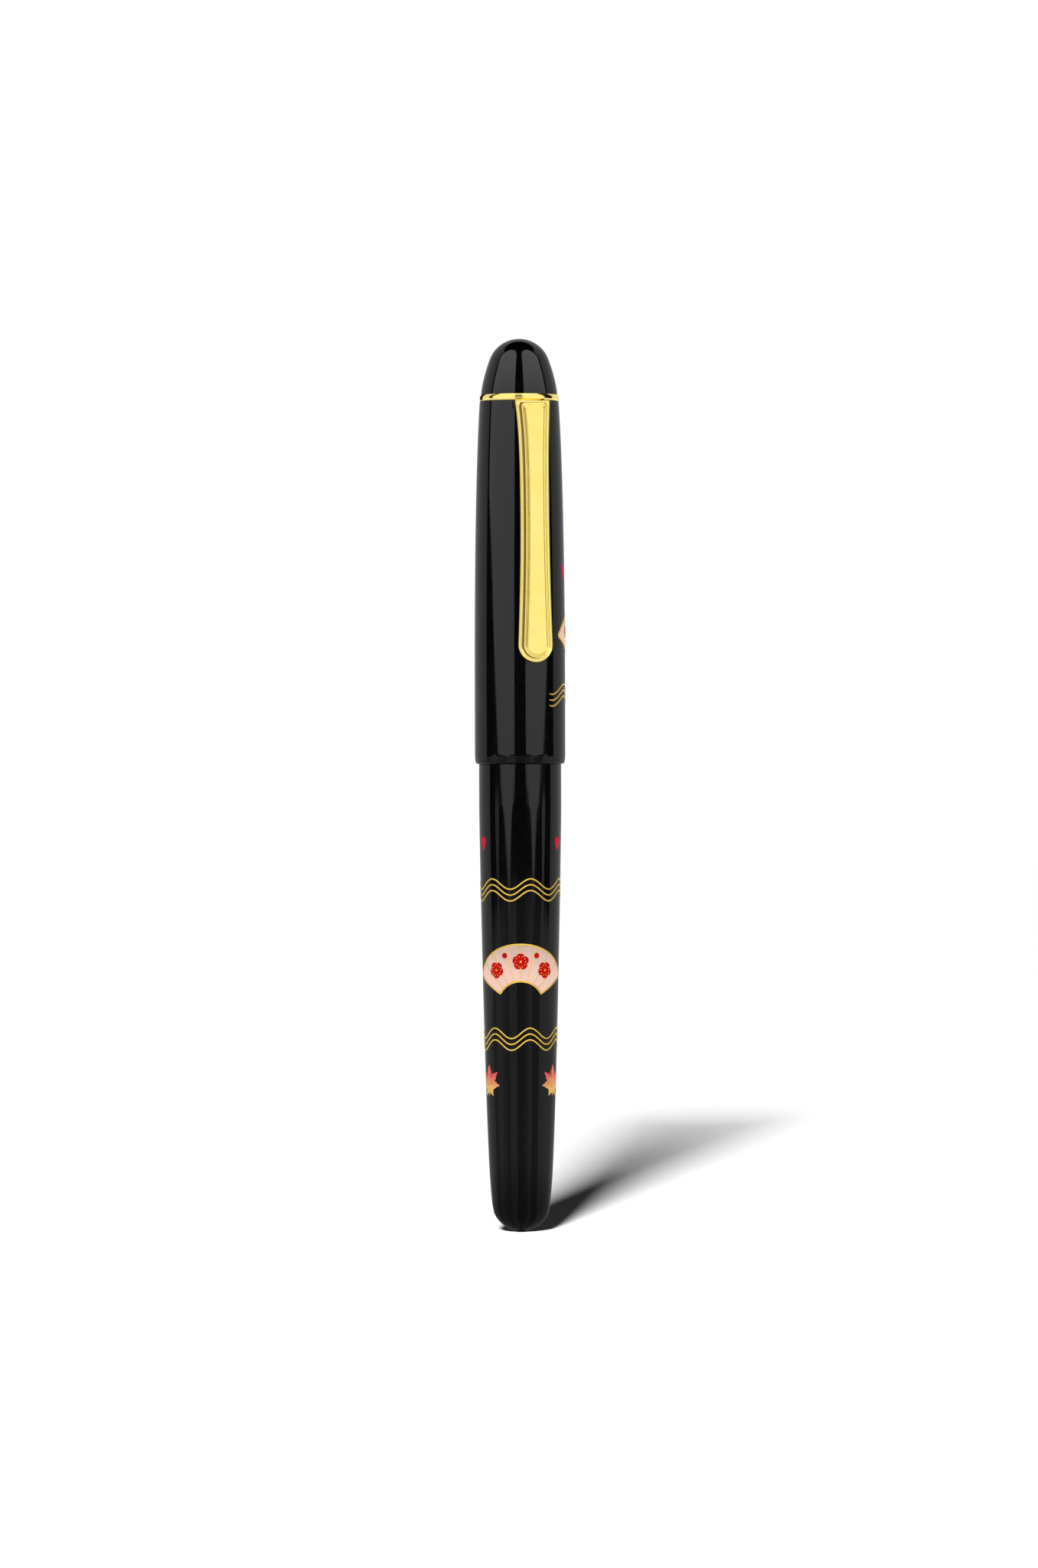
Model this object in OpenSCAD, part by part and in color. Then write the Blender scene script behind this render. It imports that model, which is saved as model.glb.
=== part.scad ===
// Capped rollerball pen: lacquered cap and barrel, gilt clip, unscrewing grip section
// and a standard spring-loaded rollerball refill. Millimetres.
// The pen stands upright on Z. z = 0 is the small flat at the barrel's end, and the
// clip faces -Y.

/* [Barrel] */
// From the flat end to the shoulder that the cap's lip meets
barrel_length = 72.3; // [71.5:0.1:73]
// Radius of the straight stretch below the shoulder
barrel_r = 6.36; // [6.3:0.01:6.4]
// Radius where the barrel's taper ends, near its tail
barrel_tail_r = 4.62; // [4.55:0.01:4.8]
// Radius of the small flat that the pen can be stood on
foot_r = 0.8; // [0.6:0.1:0.95]
// Radius of the neck inside the cap
neck_r = 5.85; // [5.8:0.01:5.87]

/* [Cap] */
// Largest radius of the cap
cap_r = 7; // [6.98:0.01:7.1]
// Length of the cap's shell, from its lip to the clip's ring
cap_length = 56; // [55.5:0.1:56.5]
// Radius of the shell where it meets the clip's ring
cap_top_r = 6.11; // [6.05:0.01:6.15]
// Height of the crown above the clip's ring
crown_height = 8.7; // [8.5:0.1:9]
// Radius of the crown's rounded top
crown_nose_r = 4.85; // [4.8:0.05:4.9]

/* [Clip] */
// Height of the clip's ring
ring_height = 1; // [0.9:0.1:1.2]
// Outer radius of the clip's ring
ring_r = 6.16; // [6.15:0.01:6.3]
// From the ring down to the clip's rounded end
clip_length = 40.4; // [38:0.1:42]
// Width of the clip just under the ring
clip_root_w = 5.6; // [5:0.1:5.8]
// Width of the clip at its waist
clip_waist_w = 4.6; // [4.4:0.1:4.8]
// Width of the clip at its foot
clip_foot_w = 5.5; // [5.2:0.1:5.8]
// Thickness of the clip's lower plate
clip_plate = 0.7; // [0.6:0.05:0.8]
// Height of the raised panel on the lower plate
clip_panel = 0.9; // [0.7:0.05:1]
// Width of the lower plate that shows at each side of the panel
clip_margin = 0.65; // [0.5:0.05:0.8]

/* [Grip section] */
// Length of the grip, from the gilt ring to the nose collar
grip_length = 25.8; // [25:0.1:26.5]
// Radius of the grip behind the fingers
grip_back_r = 5.45; // [5.4:0.01:5.5]
// Radius of the grip at its waist
grip_waist_r = 4.5; // [4.4:0.05:4.6]
// Length of the nose collar that shows
nose_length = 6.8; // [6.5:0.1:7]

/* [Refill] */
// Overall length of the refill, from its tail to the writing ball
refill_length = 110.5; // [110:0.1:110.8]
// Outer radius of the refill's tube
refill_r = 3.05; // [3:0.01:3.1]
// Radius of the writing ball
ball_r = 0.35; // [0.3:0.01:0.4]

/* [Fits] */
// Radial clearance of the pieces that turn or slide in each other
running_gap = 0.05; // [0.03:0.01:0.08]
// Clearance round the writing ball in its socket
ball_gap = 0.015; // [0.01:0.005:0.02]

/* [Hidden] */
$fn = 96;
curve_steps = 14;

lacquer_black = [0.03, 0.03, 0.035];
gilt = [0.93, 0.75, 0.25];
brass = [0.75, 0.6, 0.3];
steel = [0.75, 0.76, 0.78];
spring_steel = [0.6, 0.6, 0.63];
moulded_grey = [0.25, 0.25, 0.27];
moulded_black = [0.06, 0.06, 0.06];
seal_rubber = [0.12, 0.12, 0.12];
ink_blue = [0.1, 0.12, 0.4];
fibre_white = [0.85, 0.85, 0.82];

// Barrel: heights
plug_seam_z = 2.98;
taper_end_z = 5.8;
straight_z = barrel_length - 6.3;
plug_top_z = 6;
neck_groove_z = barrel_length + 11.7;
mouth_z = barrel_length + 13.7;
bush_z = mouth_z - 8;
// Barrel: radii
dome_r = 4.57;
dome_centre_z = 4.72;
plug_spigot_r = 3;
bore_r = 3.6;
bush_r = 5;
neck_groove_r = 5.6;
thread_r = 4.3;

// Refill: heights
refill_tip_z = 123.4;
refill_tail_z = refill_tip_z - refill_length;
tail_flange = 1;
tail_spigot = 2.1;
tube_top_z = refill_tip_z - 18.5;
holder_z = tube_top_z + 2.5;
seat_z = refill_tip_z - 11;
point_root_z = seat_z - 2;
point_taper_z = refill_tip_z - 3.4;
ball_z = refill_tip_z - ball_r;
rim_z = ball_z + 0.1;
feed_z = tube_top_z - 8.9;
feed_top_z = point_taper_z - 3.2;
// Refill: radii
tube_bore_r = 2.7;
holder_r = 2.2;
point_r = 1.15;
point_rim_r = 0.43;
feed_r = 0.6;
feed_hole_r = 0.62;
ink_channel_r = 0.15;

// Refill spring
spring_r = 2.4;
spring_wire_r = 0.22;
spring_turns = 5.5;
spring_steps = 20;
wire_sides = 8;

// Grip section and nose
ring_bead_r = 5.7;
ring_bead_height = 1.2;
shoulder_z = mouth_z + ring_bead_height;
thread_z = mouth_z - 6.5;
nose_z = shoulder_z + grip_length;
nose_top_z = nose_z + nose_length;
grip_waist_z = nose_z - 6;
grip_lip_r = 4.72;
grip_lip_z = nose_z - 1.8;
section_bore_r = 3.3;
collar_tail_r = 3;
collar_tail_z = nose_z - 5;
collar_socket_z = nose_z - 5.5;
collar_r = 4.35;
collar_bore_r = 2.4;
nose_hole_r = 1.35;

// Cap: heights
cap_z = barrel_length;
lip_round = 0.4;
straight_low_z = cap_z + 4.2;
straight_high_z = cap_z + 11.7;
cap_top_z = cap_z + cap_length;
cap_wall_z = cap_top_z - 1.3;
liner_z = cap_top_z - 24.3;
snap_z = neck_groove_z + 0.25;
snap_height = 1.5;
snap_slot_gap = 0.1;
crown_z = cap_top_z + ring_height;
crown_top_z = crown_z + crown_height;
seal_z = refill_tip_z + 0.35;
seal_top_z = seal_z + 1.15;
liner_ceiling_z = seal_top_z - 0.4;
liner_step_z = nose_z;
stud_z = seal_top_z + 0.5;
stud_top_z = crown_z + 3.3;
// Cap: radii
mouth_bore_r = neck_r + running_gap;
cap_bore_r = 5.8;
lip_r = cap_r - 0.1;
snap_r = 6.15;
liner_r = 5.6;
liner_mouth_r = 5.05;
liner_bore_r = 4.65;
seal_r = 2.5;
stud_r = 1.6;
stud_hole_r = 2;
ring_hole_r = 1.7;
crown_r = 5.92;
crown_blend_drop = 3.2;

// Clip: the lower plate's back lies this far from the cap
clip_gap = 0.65;
clip_top_z = cap_top_z - 0.1;
clip_end_z = cap_top_z - clip_length;
clip_waist_z = cap_top_z - 16.3;
clip_bend_z = cap_top_z - 24.3;
clip_root_d = 6.2;
clip_foot_d = cap_r - 0.05 + clip_gap;
clip_tab_d = 5.65;
clip_tab_height = 1;
clip_slot_d = 5.55;
clip_slot_gap = 0.15;
clip_bevel = 0.15;
clip_bevel_w = 0.5;
clip_nub_r = 1;
clip_nub_z = clip_end_z + 3.6;
clip_depth = 12;

// Points along a curve with one control point
function curve2(a, b, c, steps = curve_steps) =
    [for (i = [0:steps]) let (t = i / steps)
        (1 - t) * (1 - t) * a + 2 * t * (1 - t) * b + t * t * c];
// Points along a curve with two control points
function curve3(a, b, c, d, steps = curve_steps) =
    [for (i = [0:steps]) let (t = i / steps, s = 1 - t)
        s * s * s * a + 3 * s * s * t * b + 3 * s * t * t * c + t * t * t * d];
// Points along an arc about a centre
function arc(centre, r, from, to, steps = curve_steps) =
    [for (i = [0:steps]) let (angle = from + (to - from) * i / steps)
        centre + r * [cos(angle), sin(angle)]];

// A solid of revolution about Z from [radius, height] points
module turned(points) rotate_extrude() polygon(points);

// A bar of metal or plastic with a hole through it
module sleeve(outer, bore, low, high) {
    difference() {
        translate([0, 0, low]) cylinder(r = outer, h = high - low);
        translate([0, 0, low - 1]) cylinder(r = bore, h = high - low + 2);
    }
}

// Outer shell of the barrel, with the neck that goes into the cap
module barrel_shell() {
    seam_r = sqrt(dome_r * dome_r - pow(dome_centre_z - plug_seam_z, 2));
    color(lacquer_black) turned(concat(
        [[plug_spigot_r, plug_seam_z], [seam_r, plug_seam_z]],
        curve3([barrel_tail_r, taper_end_z], [barrel_tail_r + 0.78, taper_end_z + 6.2],
               [barrel_r, straight_z - 4.5], [barrel_r, straight_z], 20),
        [[barrel_r, barrel_length], [neck_r, barrel_length], [neck_r, neck_groove_z],
         [neck_groove_r, neck_groove_z], [neck_groove_r, mouth_z], [bush_r, mouth_z],
         [bush_r, bush_z], [bore_r, bush_z], [bore_r, plug_top_z],
         [plug_spigot_r, plug_top_z]]));
}

// Domed plug that closes the barrel's tail and carries the refill's spring
module barrel_end_plug() {
    low_angle = -acos(1 / dome_r);
    high_angle = -acos(4.2 / dome_r);
    color(lacquer_black) turned(concat(
        [[0, 0], [foot_r, 0]],
        arc([0, dome_centre_z], dome_r, low_angle, high_angle),
        [[4.2, plug_seam_z], [plug_spigot_r, plug_seam_z], [plug_spigot_r, plug_top_z],
         [0, plug_top_z]]));
}

// Brass bush in the barrel's mouth that takes the section's thread
module barrel_bush() {
    color(brass) sleeve(bush_r, thread_r + running_gap, bush_z, mouth_z);
}

// One ring of points round the spring's wire, at a share of its length
function wire_ring(share) =
    let (angle = 360 * spring_turns * share,
         low = plug_top_z + spring_wire_r,
         high = refill_tail_z - spring_wire_r,
         height = low + (high - low) * share)
    [for (side = [0:wire_sides - 1]) let (turn = 360 * side / wire_sides,
                                          reach = spring_r + spring_wire_r * cos(turn))
        [reach * cos(angle), reach * sin(angle), height + spring_wire_r * sin(turn)]];

// Coil spring that holds the refill forward
module refill_spring() {
    rings = spring_turns * spring_steps;
    points = [for (i = [0:rings]) each wire_ring(i / rings)];
    sides = [for (i = [0:rings - 1], side = [0:wire_sides - 1])
        let (next = (side + 1) % wire_sides)
        [i * wire_sides + side, i * wire_sides + next,
         (i + 1) * wire_sides + next, (i + 1) * wire_sides + side]];
    first = [for (side = [wire_sides - 1:-1:0]) side];
    last = [for (side = [0:wire_sides - 1]) rings * wire_sides + side];
    color(spring_steel) polyhedron(points, concat(sides, [first, last]));
}

// Gilt ring between the barrel and the grip, which the cap snaps over
module section_ring() {
    edge = 0.2;
    color(gilt) turned([
        [thread_r + running_gap, mouth_z], [ring_bead_r - edge, mouth_z],
        [ring_bead_r, mouth_z + edge], [ring_bead_r, shoulder_z - edge],
        [ring_bead_r - edge, shoulder_z - 0.02], [thread_r + running_gap, shoulder_z - 0.02]]);
}

// Grip with the threaded tail that screws into the barrel
module grip_section() {
    color(lacquer_black) turned(concat(
        [[section_bore_r, thread_z], [thread_r, thread_z], [thread_r, shoulder_z]],
        curve3([grip_back_r, shoulder_z], [grip_back_r - 0.1, shoulder_z + 8],
               [grip_waist_r, grip_waist_z - 8], [grip_waist_r, grip_waist_z]),
        curve3([grip_waist_r + 0.01, grip_waist_z + 1], [grip_waist_r + 0.05, grip_lip_z - 1.5],
               [grip_lip_r, grip_lip_z - 1], [grip_lip_r, grip_lip_z], 6),
        [[grip_lip_r - 0.3, nose_z], [collar_tail_r, nose_z], [collar_tail_r, collar_socket_z],
         [section_bore_r, collar_socket_z]]));
}

// Gilt nose that screws into the grip and seats the refill
module nose_collar() {
    color(gilt) turned(concat(
        [[collar_bore_r, collar_tail_z], [collar_tail_r, collar_tail_z],
         [collar_tail_r, nose_z], [collar_r - 0.1, nose_z], [collar_r, nose_z + 0.3]],
        curve3([collar_r - 0.05, nose_z + 0.6], [collar_r - 0.5, nose_z + 3],
               [2.5, nose_top_z - 2.5], [1.75, nose_top_z - 0.3], 10),
        [[1.6, nose_top_z], [nose_hole_r, nose_top_z], [nose_hole_r, seat_z + 0.02],
         [collar_bore_r, seat_z + 0.02]]));
}

// Sprung ring in the cap's mouth that clicks over the gilt section ring
module cap_snap_ring() {
    snap_bore_r = ring_bead_r + 0.03;
    edge = 0.15;
    color(spring_steel) turned([
        [snap_bore_r + edge, snap_z], [snap_r, snap_z], [snap_r, snap_z + snap_height],
        [snap_bore_r + edge, snap_z + snap_height], [snap_bore_r, snap_z + snap_height - edge],
        [snap_bore_r, snap_z + edge]]);
}

// Outer shell of the cap, with a slot for the clip's root
module cap_shell() {
    snap_groove_r = snap_r + running_gap;
    outline = concat(
        [[mouth_bore_r, cap_z]],
        arc([lip_r - lip_round, cap_z + lip_round], lip_round, -90, 0, 6),
        curve2([lip_r, cap_z + lip_round + 0.1], [cap_r, cap_z + 1.7], [cap_r, straight_low_z], 6),
        curve3([cap_r, straight_high_z], [cap_r, straight_high_z + 30],
               [cap_top_r + 0.2, cap_top_z - 3], [cap_top_r, cap_top_z], 20),
        [[stud_hole_r, cap_top_z], [stud_hole_r, cap_wall_z], [liner_r, cap_wall_z],
         [liner_r, liner_z], [cap_bore_r, liner_z],
         [cap_bore_r, snap_z + snap_height + snap_slot_gap],
         [snap_groove_r, snap_z + snap_height + snap_slot_gap],
         [snap_groove_r, snap_z - snap_slot_gap], [mouth_bore_r, snap_z - snap_slot_gap]]);
    slot_w = clip_root_w + 2 * clip_slot_gap;
    color(lacquer_black) difference() {
        turned(outline);
        translate([-slot_w / 2, -clip_slot_d - 2, clip_top_z - clip_tab_height - clip_slot_gap])
            cube([slot_w, 2, clip_tab_height + 1]);
    }
}

// Liner that closes round the nose so that the ink doesn't dry
module inner_cap() {
    color(moulded_grey) turned([
        [liner_mouth_r, liner_z], [liner_r, liner_z], [liner_r, cap_wall_z],
        [stud_r, cap_wall_z], [stud_r, stud_z], [0, stud_z], [0, seal_top_z],
        [seal_r, seal_top_z], [seal_r, liner_ceiling_z], [liner_bore_r, liner_ceiling_z],
        [liner_bore_r, liner_step_z], [liner_mouth_r, liner_step_z - 0.6]]);
}

// Soft pad in the liner, just clear of the writing ball
module tip_seal() {
    color(seal_rubber) translate([0, 0, seal_z]) cylinder(r = seal_r, h = seal_top_z - seal_z);
}

// Stud that screws the crown and the clip's ring to the liner
module crown_stud() {
    color(brass) translate([0, 0, stud_z]) cylinder(r = stud_r, h = stud_top_z - stud_z);
}

// Ring of the clip, clamped under the crown
module clip_ring() {
    bulge = 0.21;
    middle_z = cap_top_z + ring_height / 2;
    color(gilt) turned(concat(
        [[ring_hole_r, cap_top_z]],
        curve2([ring_r - bulge, cap_top_z], [ring_r + bulge, middle_z],
               [ring_r - bulge, crown_z], 8),
        [[ring_hole_r, crown_z]]));
}

// Bullet-shaped crown
module cap_crown() {
    nose_centre_z = crown_top_z - crown_nose_r;
    blend_z = crown_top_z - crown_blend_drop;
    blend_angle = asin((crown_nose_r - crown_blend_drop) / crown_nose_r);
    blend_r = crown_nose_r * cos(blend_angle);
    color(lacquer_black) turned(concat(
        [[stud_r, crown_z]],
        curve2([crown_r, crown_z], [crown_r - 0.24, crown_z + 2.4], [blend_r, blend_z]),
        arc([0, nose_centre_z], crown_nose_r, blend_angle + 2, 90, 18),
        [[0, stud_top_z], [stud_r, stud_top_z]]));
}

// Half the width of the clip at a height, less an inset all round
function clip_half_w(z, inset = 0) =
    z > clip_waist_z
    ? clip_waist_w / 2 - inset + (clip_root_w - clip_waist_w) / 2
        * pow((z - clip_waist_z) / (clip_top_z - clip_waist_z), 3)
    : clip_waist_w / 2 - inset + (clip_foot_w - clip_waist_w) / 2
        * pow((clip_waist_z - z) / (clip_waist_z - clip_end_z - clip_foot_w / 2), 2);

// Front outline of the clip from its rounded foot to a top height, inset all round
module clip_outline(top_z, inset) {
    end_r = clip_foot_w / 2 - inset;
    end_centre_z = clip_end_z + clip_foot_w / 2;
    heights = [for (i = [1:curve_steps]) end_centre_z + (top_z - end_centre_z) * i / curve_steps];
    right = [for (z = heights) [clip_half_w(z, inset), z]];
    left = [for (i = [curve_steps - 1:-1:0]) [-clip_half_w(heights[i], inset), heights[i]]];
    polygon(concat(arc([0, end_centre_z], end_r, -180, 0, 24), right, left));
}

// Side outline of a layer of the clip between two depths over its back line
module clip_side(low, high, top_z) {
    back = concat(
        [[clip_foot_d, clip_end_z - 1]],
        curve3([clip_foot_d - 0.1, clip_bend_z], [7.25, cap_top_z - 10.3],
               [6.9, cap_top_z - 2.7], [clip_root_d, top_z]));
    last = len(back) - 1;
    front = [for (i = [last:-1:0]) back[i] + [high, 0]];
    polygon(concat([for (point = back) point + [low, 0]], front));
}

// A layer of the clip: its front outline cut to its side outline
module clip_layer(low, high, top_z, inset) {
    intersection() {
        rotate([90, 0, 0]) linear_extrude(clip_depth) clip_outline(top_z, inset);
        rotate([90, 0, -90]) translate([0, 0, -clip_depth / 2])
            linear_extrude(clip_depth) clip_side(low, high, top_z);
    }
}

// Springy arm of the clip: lower plate, raised panel and the nub that grips the cloth
module clip_arm() {
    panel_top_z = clip_top_z - 0.3;
    panel_face = clip_plate + clip_panel - clip_bevel;
    tab_w = clip_root_w - 0.2;
    color(gilt) {
        clip_layer(0, clip_plate, clip_top_z, 0);
        clip_layer(clip_plate - 0.2, panel_face, panel_top_z, clip_margin);
        clip_layer(panel_face - 0.2, clip_plate + clip_panel, panel_top_z - clip_bevel_w,
                   clip_margin + clip_bevel_w);
        translate([-tab_w / 2, -clip_root_d - 0.3, clip_top_z - clip_tab_height])
            cube([tab_w, clip_root_d + 0.3 - clip_tab_d, clip_tab_height]);
        translate([0, -(clip_foot_d + clip_nub_r - clip_gap + 0.05), clip_nub_z])
            sphere(r = clip_nub_r);
    }
}

// Plastic tube of the refill
module refill_tube() {
    color(moulded_black) sleeve(refill_r, tube_bore_r, refill_tail_z + tail_flange, tube_top_z);
}

// Plug in the refill's tail, with the flange that the spring presses
module refill_tail_plug() {
    flange_z = refill_tail_z + tail_flange;
    color(moulded_grey) {
        translate([0, 0, refill_tail_z]) cylinder(r = refill_r, h = tail_flange);
        translate([0, 0, flange_z]) cylinder(r = tube_bore_r, h = tail_spigot);
    }
}

// Fibre rod that holds the ink
module ink_reservoir() {
    low = refill_tail_z + tail_flange + tail_spigot + 0.2;
    high = tube_top_z - 2.3;
    color(ink_blue) difference() {
        translate([0, 0, low]) cylinder(r = tube_bore_r - 0.02, h = high - low);
        translate([0, 0, feed_z]) cylinder(r = feed_hole_r, h = high - feed_z + 1);
    }
}

// Capillary rod that feeds ink from the reservoir to the point
module ink_feed() {
    color(fibre_white) translate([0, 0, feed_z]) cylinder(r = feed_r, h = feed_top_z - feed_z);
}

// Stepped head of the refill, whose front face rests on the nose collar's seat
module refill_head() {
    color(moulded_black) turned([
        [feed_hole_r, tube_top_z - 2], [tube_bore_r, tube_top_z - 2],
        [tube_bore_r, tube_top_z], [refill_r, tube_top_z], [holder_r, holder_z],
        [holder_r, seat_z], [point_r, seat_z], [point_r, point_root_z],
        [feed_hole_r, point_root_z]]);
}

// Steel point with the socket for the writing ball
module refill_point() {
    color(steel) difference() {
        turned([
            [0, point_root_z], [point_r, point_root_z], [point_r, point_taper_z],
            [point_rim_r + 0.12, rim_z - 0.5], [point_rim_r, rim_z], [0, rim_z]]);
        translate([0, 0, point_root_z - 1])
            cylinder(r = feed_hole_r, h = feed_top_z + 0.1 - point_root_z + 1);
        translate([0, 0, feed_top_z]) cylinder(r = ink_channel_r, h = ball_z - feed_top_z);
        translate([0, 0, ball_z]) sphere(r = ball_r + ball_gap);
    }
}

// Writing ball, free to roll in the point's socket
module writing_ball() {
    color(steel) translate([0, 0, ball_z]) sphere(r = ball_r);
}

barrel_shell();
barrel_end_plug();
barrel_bush();
refill_spring();
section_ring();
grip_section();
nose_collar();
cap_snap_ring();
cap_shell();
inner_cap();
tip_seal();
crown_stud();
clip_ring();
cap_crown();
clip_arm();
refill_tube();
refill_tail_plug();
ink_reservoir();
ink_feed();
refill_head();
refill_point();
writing_ball();
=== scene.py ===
"""The looks of the capped rollerball pen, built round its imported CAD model.

The pen stands on Z. Lengths in this file are millimetres until a mesh is made, and MM
turns them into metres. Painted motifs are drawn on the unrolled surface: u runs round
the pen to the right of the line that faces the camera, and z runs up.
"""
import math

import bpy
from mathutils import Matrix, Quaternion, Vector
from mathutils.geometry import delaunay_2d_cdt


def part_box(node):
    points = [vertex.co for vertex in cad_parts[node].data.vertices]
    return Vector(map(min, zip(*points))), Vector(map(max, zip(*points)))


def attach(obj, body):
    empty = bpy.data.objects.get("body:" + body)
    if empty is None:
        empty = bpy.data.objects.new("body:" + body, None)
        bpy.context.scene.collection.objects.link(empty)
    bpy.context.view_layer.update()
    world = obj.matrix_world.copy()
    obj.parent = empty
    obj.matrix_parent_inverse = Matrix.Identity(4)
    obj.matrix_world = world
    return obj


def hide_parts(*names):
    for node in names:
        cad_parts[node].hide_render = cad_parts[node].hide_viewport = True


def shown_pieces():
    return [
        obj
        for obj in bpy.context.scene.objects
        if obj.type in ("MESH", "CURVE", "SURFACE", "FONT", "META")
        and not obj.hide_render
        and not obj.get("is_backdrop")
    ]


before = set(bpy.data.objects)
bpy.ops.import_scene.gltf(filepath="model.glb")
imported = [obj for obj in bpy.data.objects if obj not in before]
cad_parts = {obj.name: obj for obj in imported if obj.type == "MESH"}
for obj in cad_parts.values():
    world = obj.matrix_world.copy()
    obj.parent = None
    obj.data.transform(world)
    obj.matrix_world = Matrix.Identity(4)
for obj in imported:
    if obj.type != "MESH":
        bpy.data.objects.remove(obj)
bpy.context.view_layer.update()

MM = 0.001
TURN = 2 * math.pi
VIEW_AZIMUTH = math.radians(-17.6)
FACING = (math.sin(VIEW_AZIMUTH), -math.cos(VIEW_AZIMUTH))
RIGHTWARD = (math.cos(VIEW_AZIMUTH), math.sin(VIEW_AZIMUTH))


# Sizes read from the frame

def low_high(node):
    """Heights of a node's lowest and highest point, in mm."""
    low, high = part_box(node)
    return low.z / MM, high.z / MM


def widest(node):
    """Largest radius of a turned node, in mm."""
    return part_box(node)[1].x / MM


LIP_Z, CAP_TOP_Z = low_high("cap_shell")
RING_Z, CROWN_Z = low_high("clip_ring")
CROWN_TOP_Z = low_high("cap_crown")[1]
MOUTH_Z = low_high("barrel_shell")[1]
GRIP_TAIL_Z, NOSE_Z = low_high("grip_section")
SHOULDER_Z = MOUTH_Z + 1.2
NOSE_TOP_Z = low_high("nose_collar")[1]
CLIP_END_Z, CLIP_TOP_Z = low_high("clip_arm")
CAP_R = widest("cap_shell")
BARREL_R = widest("barrel_shell")
RING_R = widest("clip_ring")
BEAD_R = widest("section_ring")


# Curves

def mix(a, b, share):
    """The point or number that lies this share of the way from a to b."""
    if isinstance(a, (int, float)):
        return a + (b - a) * share
    return tuple(x + (y - x) * share for x, y in zip(a, b))


def polar(centre, radius, degrees):
    """The point at a distance and a direction from a centre."""
    angle = math.radians(degrees)
    return (centre[0] + radius * math.cos(angle), centre[1] + radius * math.sin(angle))


def bezier_point(points, share):
    """The point this share of the way along a Bezier curve."""
    row = points
    while len(row) > 1:
        row = [mix(p, q, share) for p, q in zip(row, row[1:])]
    return row[0]


def bezier(points, steps=40):
    """Points along a Bezier curve with any number of control points."""
    return [bezier_point(points, i / steps) for i in range(steps + 1)]


def arc(centre, radius, start, end, steps=12):
    """Points along an arc; angles in degrees."""
    return [polar(centre, radius, start + (end - start) * i / steps) for i in range(steps + 1)]


def closed_spline(points, steps):
    """A smooth closed curve through the points (Catmull-Rom)."""
    count = len(points)
    made = []
    for i in range(count):
        near = [points[(i + k - 1) % count] for k in range(4)]
        for s in range(steps):
            t = s / steps
            made.append(tuple(
                0.5 * (2 * b + (c - a) * t + (2 * a - 5 * b + 4 * c - d) * t * t
                       + (3 * b - a - 3 * c + d) * t ** 3)
                for a, b, c, d in zip(*near)))
    return made


# Meshes

def make_piece(name, verts, faces, material, sharp=35):
    """A smooth-shaded object from vertices in mm."""
    mesh = bpy.data.meshes.new(name)
    mesh.from_pydata([Vector(v) * MM for v in verts], [], faces)
    mesh.validate()
    mesh.shade_smooth()
    mesh.set_sharp_from_angle(angle=math.radians(sharp))
    mesh.materials.append(material)
    piece = bpy.data.objects.new(name, mesh)
    bpy.context.scene.collection.objects.link(piece)
    return piece


def lathe(outline, segments=144, relief=None):
    """Vertices and faces of an outline of (radius, height) turned about Z."""
    verts, rings, faces = [], [], []
    for radius, height in outline:
        if radius < 1e-6:
            verts.append((0, 0, height))
            rings.append([len(verts) - 1] * segments)
            continue
        first = len(verts)
        for i in range(segments):
            angle = TURN * i / segments
            reach = radius + (relief(radius, height, angle) if relief else 0)
            verts.append((reach * math.cos(angle), reach * math.sin(angle), height))
        rings.append(list(range(first, first + segments)))
    for low, high in zip(rings, rings[1:] + rings[:1]):
        for i in range(segments):
            j = (i + 1) % segments
            corners = [low[i], low[j], high[j], high[i]]
            face = [c for k, c in enumerate(corners) if c != corners[k - 1]]
            if len(set(face)) > 2:
                faces.append(face)
    return verts, faces


def turned(name, outline, material, body, node=None, relief=None, segments=144):
    """A turned piece that stands for the CAD node of the same name."""
    verts, faces = lathe(outline, segments, relief)
    piece = make_piece(name, verts, faces, material)
    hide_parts(node or name)
    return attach(piece, body)


# Materials

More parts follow.
